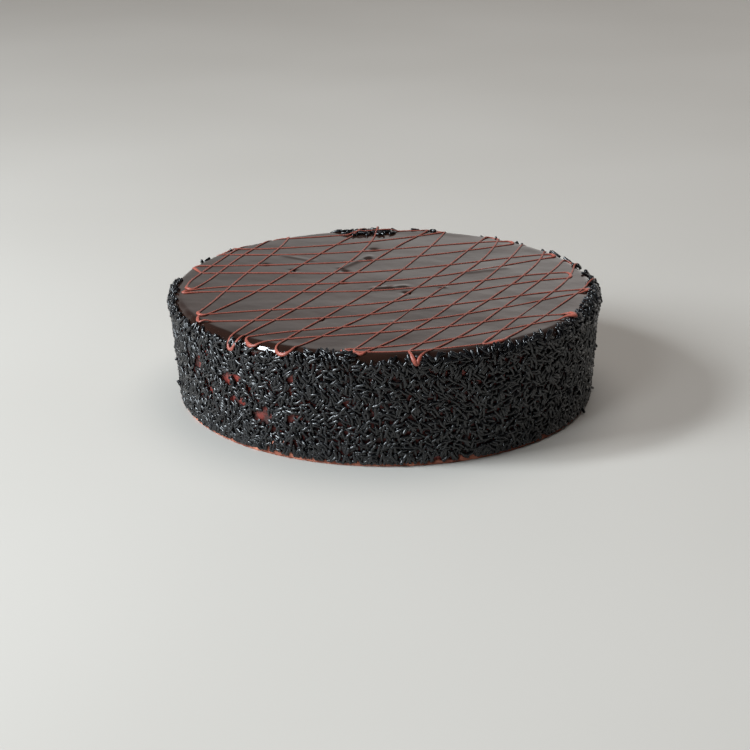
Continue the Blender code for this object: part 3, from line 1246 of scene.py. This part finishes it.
@dataclass
class VermicelliCoat:
    """The pressed-on coat, laid rod by rod over what already lies there."""

    form: CakeForm
    count: int = 7200
    tries: int = 4
    cell: float = 0.4 * MM
    press: float = 0.6 * MM
    thickest: float = 2.4 * MM
    length: Pair = (3.3 * MM, 5.6 * MM)
    thickness: Pair = (1.28 * MM, 1.6 * MM)
    tilt: float = 0.2
    proud_share: float = 0.022
    skirt: int = 330
    gap_grain: float = 4.8 * MM
    gap_limits: Pair = (0.62, 0.25)
    gap_middle: Pair = (226.0, 26.0 * MM)
    gap_spread: Pair = (34.0, 15.0 * MM)
    top_marks: tuple[Pair, ...] = (
        (4, 50.5), (12, 47.0), (20, 44.6), (88, 44.6), (97, 49.0), (106, 44.6), (172, 44.6),
        (178, 49.5), (185, 50.8), (192, 50.4), (199, 48.6), (215, 48.0), (230, 48.0),
        (235, 46.9), (243, 46.9), (248, 50.0), (253, 51.0), (262, 50.4), (265, 47.6), (271, 47.6),
        (274, 49.4), (290, 49.2), (296, 49.6), (312, 50.2), (328, 50.6), (335, 51.0),
        (345, 51.3), (355, 51.0),
    )
    foot_marks: tuple[Pair, ...] = (
        (0, 0.6), (196, 0.6), (206, 1.0), (228, 1.0), (234, 1.6), (237, 4.6), (244, 4.2),
        (247, 1.2), (256, 1.1), (318, 1.1), (326, 0.6),
    )
    clusters: tuple[tuple[float, float, int, float, float], ...] = (
        (95, 8, 34, 92, 5.0), (80, 2, 2, 98, 2.0), (76, 2, 2, 97, 2.0), (57, 2, 2, 98, 1.5),
        (45, 3, 3, 98, 1.5), (34, 3, 3, 98, 1.5), (25, 2, 2, 98, 1.5), (18, 2, 2, 98, 1.5),
        (10, 3, 4, 98, 2.0), (144, 1, 1, 98, 1.0), (155, 2, 2, 98, 1.0), (178, 4, 6, 98, 2.0),
    )
    foot_wave: Wave = Wave(34.0, 4.1, 1.3)
    foot_least: float = 0.4 * MM
    edge_waves: tuple[Wave, ...] = (Wave(11.0, 1.3, 0.6), Wave(30.0, 6.2, 0.5))
    spare_rise: float = 6 * MM
    drift_size: float = 11.0 * MM
    drift_swing: float = 4.2
    drift_lean: float = -0.5
    aim_spread: float = 0.75
    foot_room: float = 0.6
    least_slope: float = 0.05
    skirt_lean: float = 0.5
    probes: tuple[float, ...] = (-0.3, 0.0, 0.3)
    probes_along: int = 9
    cluster_share: float = 0.6
    sink_share: float = 0.15
    crown_share: float = 0.9
    flattened: float = 0.4
    proud_slope: Pair = (0.3, 0.75)
    proud_rise: float = 0.2
    tone_power: float = 1.5
    stubby_below: float = 4.1 * MM
    kind_shares: Pair = (0.36, 0.72)
    press_tries: int = 8
    end_reach: float = 0.55
    end_margin: float = 0.75
    turned_flat: float = 0.5
    rest_jitter: float = 0.5 * MM
    seed: int = 20

    def __post_init__(self) -> None:
        """Make the empty height map of the side and rim."""
        self.girth = math.tau * self.form.shoulder_radius
        self.top_rise = self.form.rim_foot + self.form.quarter + self.spare_rise
        self.columns = int(self.girth / self.cell)
        self.rows = int(self.top_rise / self.cell) + 1
        self.map = np.zeros((self.columns, self.rows))
        self.draw = random.Random(self.seed)

    def marked(self, bearing: float, marks: tuple[Pair, ...]) -> float:
        """Return the height in metres that marks give at a bearing."""
        bearings, heights = zip(*marks)
        return float(np.interp(math.degrees(bearing), bearings, heights, period=360.0)) * MM

    def foot_edge(self, bearing: float) -> float:
        """Return the height below which the coat leaves the foot bare at a bearing."""
        patchy = 1.0 + self.foot_wave.at(bearing)
        return max(self.marked(bearing, self.foot_marks) * patchy, self.foot_least)

    def edge(self, bearing: float) -> float:
        """Return how far up the coat reaches at a bearing."""
        ragged = sum(wave.at(bearing) for wave in self.edge_waves)
        return self.marked(bearing, self.top_marks) + ragged * MM

    def depth_at(self, plan: Vector) -> float:
        """Find how thick the rods lie.

        Args:
            plan: a place of the unrolled top.

        Returns:
            The depth in metres.
        """
        form = self.form
        rise = form.rim_foot + form.quarter - (plan.length - form.flat_radius)
        if rise >= self.top_rise - self.cell:
            return 0.0
        bearing = math.atan2(plan.y, plan.x) % math.tau
        column = int(bearing * form.shoulder_radius / self.cell) % self.columns
        return float(self.map[column, int(rise / self.cell)])

    def frame(self, bearing: float, rise: float) -> tuple[Vector, Vector, Vector, Vector]:
        """Find the coat's bed.

        Args:
            bearing: direction round the cake, in radians.
            rise: distance up the bed from the foot, in metres.

        Returns:
            The point, the normal, the level direction and the upward direction.
        """
        form = self.form
        if rise <= form.rim_foot:
            place = form.point(bearing, form.wall_radius(rise), rise)
            normal = outward(bearing)
        else:
            past = rise - form.rim_foot
            place, normal = form.glaze_frame(bearing, form.flat_radius + form.quarter - past)
        level = UP.cross(outward(bearing))
        return place, normal, level, normal.cross(level)

    def grain(self, bearing: float, rise: float) -> float:
        """Find the direction that neighbouring rods share, which drifts over the side.

        Args:
            bearing: direction round the cake, in radians.
            rise: distance up the coat's bed from the foot, in metres.

        Returns:
            The angle from level, in radians.
        """
        place = outward(bearing) * (self.form.shoulder_radius / self.drift_size)
        place.z = rise / self.drift_size
        return noise.noise(place) * self.drift_swing + self.drift_lean

    def in_gap(self, bearing: float, rise: float) -> bool:
        """Tell whether a place is in a ragged patch that the coat missed.

        Args:
            bearing: direction round the cake, in radians.
            rise: distance up the coat's bed from the foot, in metres.

        Returns:
            True in such a patch.
        """
        around = math.degrees(bearing) % 360.0 - self.gap_middle[0]
        near = math.exp(
            -(around / self.gap_spread[0]) ** 2
            - ((rise - self.gap_middle[1]) / self.gap_spread[1]) ** 2
        )
        place = outward(bearing) * (self.form.shoulder_radius / self.gap_grain)
        place.z = rise / self.gap_grain
        rare, common = self.gap_limits
        return noise.noise(place) > rare + (common - rare) * near

    def meets_gap(self, bearing: float, rise: float, aim: float, length: float) -> bool:
        """Tell whether a rod's middle or either half would lie in a missed patch.

        Args:
            bearing: direction round the cake, in radians.
            rise: distance up the coat's bed from the foot, in metres.
            aim: the rod's angle on the side, from level, in radians.
            length: the rod's length, in metres.

        Returns:
            True if so.
        """
        for share in self.probes:
            around = share * length * math.cos(aim) / self.form.shoulder_radius
            if self.in_gap(bearing + around, rise + share * length * math.sin(aim)):
                return True
        return False

    def cells(
        self, bearing: float, rise: float, aim: float, length: float, thickness: float
    ) -> tuple[np.ndarray, np.ndarray, np.ndarray]:
        """Find the height map's cells under a rod.

        Args:
            bearing: direction round the cake, in radians.
            rise: distance up the coat's bed from the foot, in metres.
            aim: the rod's angle on the side, from level, in radians.
            length: the rod's length, in metres.
            thickness: the rod's thickness, in metres.

        Returns:
            Distances along the rod, and the columns and rows under it.
        """
        along = np.linspace(-0.5, 0.5, self.probes_along) * length
        across = np.array(self.probes) * thickness
        level = bearing * self.form.shoulder_radius + (
            along[:, None] * math.cos(aim) - across[None, :] * math.sin(aim)
        )
        up = rise + along[:, None] * math.sin(aim) + across[None, :] * math.cos(aim)
        columns = (level / self.cell).astype(int) % self.columns
        rows = np.clip((up / self.cell).astype(int), 0, self.rows - 1)
        return along, columns, rows

    def aim_at(self, bearing: float, rise: float, length: float) -> float:
        """Draw a rod's angle, level near the foot so that it stays off the floor.

        Args:
            bearing: direction round the cake, in radians.
            rise: distance up the coat's bed from the foot, in metres.
            length: the rod's length, in metres.

        Returns:
            The angle from level, in radians.
        """
        aim = self.grain(bearing, rise) + self.draw.gauss(0.0, self.aim_spread)
        room = (rise - self.foot_edge(bearing) * self.foot_room) / (length / 2)
        if room < 1.0:
            steepest = math.asin(max(min(room, 1.0), self.least_slope))
            aim = max(-steepest, min(steepest, (aim + math.pi / 2) % math.pi - math.pi / 2))
        return aim

    def sized(self) -> Pair:
        """Draw a rod's length and thickness."""
        return self.draw.uniform(*self.length), self.draw.uniform(*self.thickness)

    def lay(self) -> list[Rod]:
        """Lay the whole coat.

        Returns:
            Every rod of the side and the rim.
        """
        rods = self.lay_side() + self.lay_skirt() + self.lay_clusters()
        LOG.info("coat: %d rods", len(rods))
        return rods

    def lay_side(self) -> list[Rod]:
        """Lay the side's rods, each at the barest of a few drawn places.

        Returns:
            The rods.
        """
        rods = []
        for _ in range(self.count):
            length, thickness = self.sized()
            best = None
            for _ in range(self.tries):
                bearing = self.draw.uniform(0.0, math.tau)
                lowest = self.foot_edge(bearing) + thickness / 2
                rise = lowest + (self.edge(bearing) - lowest) * self.draw.random()
                aim = self.aim_at(bearing, rise, length)
                if self.meets_gap(bearing, rise, aim, length):
                    continue
                _, columns, rows = self.cells(bearing, rise, aim, length, thickness)
                filled = float(self.map[columns, rows].mean())
                if best is None or filled < best[0]:
                    best = (filled, bearing, rise, aim)
            if best is not None:
                rods.append(self.drop(*best[1:], length, thickness))
        return rods

    def lay_skirt(self) -> list[Rod]:
        """Lay the rods that stand on the floor against the foot.

        Returns:
            The rods.
        """
        rods = []
        for _ in range(self.skirt):
            length, thickness = self.sized()
            bearing = self.draw.uniform(0.0, math.tau)
            aim = self.draw.uniform(self.skirt_lean, math.pi - self.skirt_lean)
            rise = length / 2 * math.sin(aim) + thickness / 2
            rods.append(self.drop(bearing, rise, aim, length, thickness))
        return rods

    def lay_clusters(self) -> list[Rod]:
        """Lay the clusters that lie on the rim.

        Returns:
            The rods.
        """
        rods = []
        form = self.form
        for middle, spread, count, reach, scatter in self.clusters:
            for _ in range(count):
                drawn = self.draw.gauss(middle, spread * self.cluster_share)
                bearing = math.radians(drawn) % math.tau
                distance = (reach + self.draw.uniform(-scatter, scatter)) * MM
                rise = form.rim_foot + form.quarter - (distance - form.flat_radius)
                length, thickness = self.sized()
                aim = self.draw.uniform(0.0, math.pi)
                rods.append(self.drop(bearing, rise, aim, length, thickness))
        return rods

    def drop(
        self, bearing: float, rise: float, aim: float, length: float, thickness: float
    ) -> Rod:
        """Rest a rod on what lies under it, and add it to the height map.

        Args:
            bearing: direction round the cake, in radians.
            rise: distance up the coat's bed from the foot, in metres.
            aim: the rod's angle on the side, from level, in radians.
            length: the rod's length, in metres.
            thickness: the rod's thickness, in metres.

        Returns:
            The rod where it lies.
        """
        along, columns, rows = self.cells(bearing, rise, aim, length, thickness)
        under = self.map[columns, rows].max(axis=1)
        slope = float(np.dot(along, under) / np.dot(along, along))
        slope = max(-self.tilt, min(self.tilt, slope))
        rest = float((under - slope * along).max()) - self.press
        highest = self.thickest - thickness
        if rest > highest:
            rest = highest - self.draw.uniform(0.0, self.rest_jitter)
            slope *= self.flattened
        rest = max(rest, -self.sink_share * thickness)
        crown = rest + slope * along[:, None] + thickness * self.crown_share
        self.map[columns, rows] = np.maximum(self.map[columns, rows], crown)
        place, normal, level, upward = self.frame(bearing, rise)
        if self.draw.random() < self.proud_share:
            slope = self.draw.choice((-1.0, 1.0)) * self.draw.uniform(*self.proud_slope)
            rest += self.proud_rise * length * abs(slope)
        along_surface = level * math.cos(aim) + upward * math.sin(aim)
        direction = (along_surface + normal * slope).normalized()
        middle = place + normal * (rest + thickness / 2)
        middle, direction = self.keep_inside(middle, direction, normal, length, thickness)
        return Rod(
            self.kind_of(length), middle, direction, normal, thickness, length,
            self.draw.random() ** self.tone_power, self.draw.random() < 0.5,
        )

    def keep_inside(
        self, middle: Vector, direction: Vector, normal: Vector, length: float, thickness: float
    ) -> tuple[Vector, Vector]:
        """Press a rod in until it stays inside the cake's stated box.

        Args:
            middle: the rod's middle.
            direction: its unit direction.
            normal: the coat's unit normal there.
            length: the rod's length, in metres.
            thickness: the rod's thickness, in metres.

        Returns:
            The rod's new middle and direction.
        """
        for _ in range(self.press_tries):
            ends = [middle + direction * (length * self.end_reach * way) for way in (-1.0, 1.0)]
            margin = thickness * self.end_margin
            over = 0.0
            for end in ends:
                for axis in range(3):
                    over = max(over, end[axis] + margin - CAD_HIGH[axis])
                    over = max(over, CAD_LOW[axis] - end[axis] + margin)
            if over <= 0.0:
                break
            stood = normal * direction.dot(normal) * self.turned_flat
            direction = (direction - stood).normalized()
            if ends[0].z < margin or ends[1].z < margin:
                middle = middle + UP * over
            else:
                middle = middle - normal * over
        return middle, direction

    def kind_of(self, length: float) -> Kind:
        """Pick a rod's kind by its length and a draw.

        Args:
            length: the rod's length, in metres.

        Returns:
            The kind.
        """
        if length < self.stubby_below:
            return Kind.STUBBY
        pick = self.draw.random()
        if pick < self.kind_shares[0]:
            return Kind.STRAIGHT
        return Kind.CURVED if pick < self.kind_shares[1] else Kind.HOOKED


@dataclass(frozen=True)
class Lamp:
    """A soft square light that faces the cake."""

    name: str
    place: Place
    size: float
    power: float
    tint: Colour
    mirrored: bool = True
    target: Place = (0.0, 0.0, 0.04)

    def hang(self) -> None:
        """Hang the light."""
        data = bpy.data.lights.new(self.name, "AREA")
        data.shape = "SQUARE"
        data.size = self.size
        data.energy = self.power
        data.color = self.tint
        light = bpy.data.objects.new(self.name, data)
        light.visible_glossy = self.mirrored
        bpy.context.scene.collection.objects.link(light)
        place = Vector(self.place)
        turn = (Vector(self.target) - place).to_track_quat("-Z", "Y")
        light.matrix_world = Matrix.Translation(place) @ turn.to_matrix().to_4x4()


@dataclass
class Studio:
    """Pale floor, soft lights and the camera."""

    floor_size: float = 9.0
    eye: Vector = field(default_factory=lambda: Vector((0.0009, -0.7373, 0.2808)))
    aim: Vector = field(default_factory=lambda: Vector((-0.0049, 0.0, 0.0053)))
    roll: float = math.radians(-0.257)
    lens: float = 79.15
    sensor: float = 36.0
    floor_cuts: int = 8
    lamps: tuple[Lamp, ...] = (
        Lamp("window", (-1.03, -0.16, 0.92), 0.22, 11.0, DAY),
        Lamp("left", (-1.3, -0.45, 0.75), 0.5, 26.0, DAY),
        Lamp("front", (-0.95, -1.3, 1.25), 0.45, 10.0, DAY),
        Lamp("ceiling", (0.3, 0.8, 3.4), 3.0, 74.0, LAMP, mirrored=False),
    )
    room_tint: Colour = (1.0, 0.965, 0.93)
    room: tuple[tuple[str, Pair, Pair], ...] = (
        ("Y", (0.25, 0.85), (0.07, 0.66)),
        ("X", (-0.22, 0.22), (0.55, 1.45)),
        ("Z", (0.24, 0.50), (1.0, 0.16)),
    )
    finish: FloorFinish = field(default_factory=FloorFinish)

    def floor(self) -> None:
        """Lay the floor."""
        shape = bmesh.new()
        bmesh.ops.create_grid(
            shape, x_segments=self.floor_cuts, y_segments=self.floor_cuts,
            size=self.floor_size / 2,
        )
        floor = link_form("floor", shape, self.finish.build())

    def camera(self) -> None:
        """Set the camera at the photograph's angle."""
        data = bpy.data.cameras.new("camera")
        data.lens = self.lens
        data.sensor_width = self.sensor
        camera = bpy.data.objects.new("camera", data)
        bpy.context.scene.collection.objects.link(camera)
        turn = (self.aim - self.eye).to_track_quat("-Z", "Y")
        camera.matrix_world = (
            Matrix.Translation(self.eye)
            @ (turn @ Quaternion((0.0, 0.0, 1.0), self.roll)).to_matrix().to_4x4()
        )
        bpy.context.scene.camera = camera

    def world(self) -> None:
        """Surround the scene with a dim room that is pale behind and low on the right."""
        world = bpy.data.worlds.new("room")
        bpy.context.scene.world = world
        world.use_nodes = True
        graph = Graph(world)
        split = graph.add("ShaderNodeSeparateXYZ")
        coord = graph.add("ShaderNodeTexCoord")
        graph.link(coord.outputs["Generated"], split.inputs["Vector"])
        level = None
        for axis, span, to in self.room:
            spread = graph.ramp(split.outputs[axis], span, to)
            if level is None:
                level = spread
                continue
            times = graph.add("ShaderNodeMath", operation="MULTIPLY")
            graph.link(level, times.inputs[0])
            graph.link(spread, times.inputs[1])
            level = times.outputs["Value"]
        background = world.node_tree.nodes["Background"]
        background.inputs["Color"].default_value = (*self.room_tint, 1.0)
        graph.link(level, background.inputs["Strength"])

    def build(self) -> None:
        """Set up the whole studio."""
        self.floor()
        self.camera()
        self.world()
        for lamp in self.lamps:
            lamp.hang()
        bpy.context.scene.view_settings.view_transform = "Standard"


def main() -> None:
    """Build every piece of the cake, then the studio round it."""
    logging.basicConfig(level=logging.INFO, format="%(name)s %(message)s")
    form = CakeForm()
    coat = VermicelliCoat(form)
    LOG.info("body: %s", GlazedBody(form).build().name)
    LOG.info("foot: %s", BareFoot(coat).build().name)
    rods = coat.lay()
    drizzle = DrizzleFinish().build()
    across = DrizzlePass(form, coat, Pass.ACROSS, near_first=True, heavy=(10,))
    away = DrizzlePass(
        form, coat, Pass.AWAY, near_first=False,
        faint=((8, 0.45), (8, 0.7), (12, 0.6)), heavy=(12,), lift=0.12 * MM,
    )
    for zigzag in (across, away):
        LOG.info("drizzle: %s", zigzag.build(drizzle).name)
    VermicelliFinish().build()
    kinds = (
        VermicelliKind(Kind.STRAIGHT, 5.0 * MM, 1.2 * MM, 0.05 * MM),
        VermicelliKind(Kind.CURVED, 5.0 * MM, 1.2 * MM, 0.22 * MM),
        VermicelliKind(Kind.HOOKED, 5.0 * MM, 1.2 * MM, 0.50 * MM),
        VermicelliKind(Kind.STUBBY, 3.8 * MM, 1.2 * MM, 0.08 * MM),
    )
    RodScatter(kinds).build(rods)
    Studio().build()


if __name__ == "__main__":
    main()
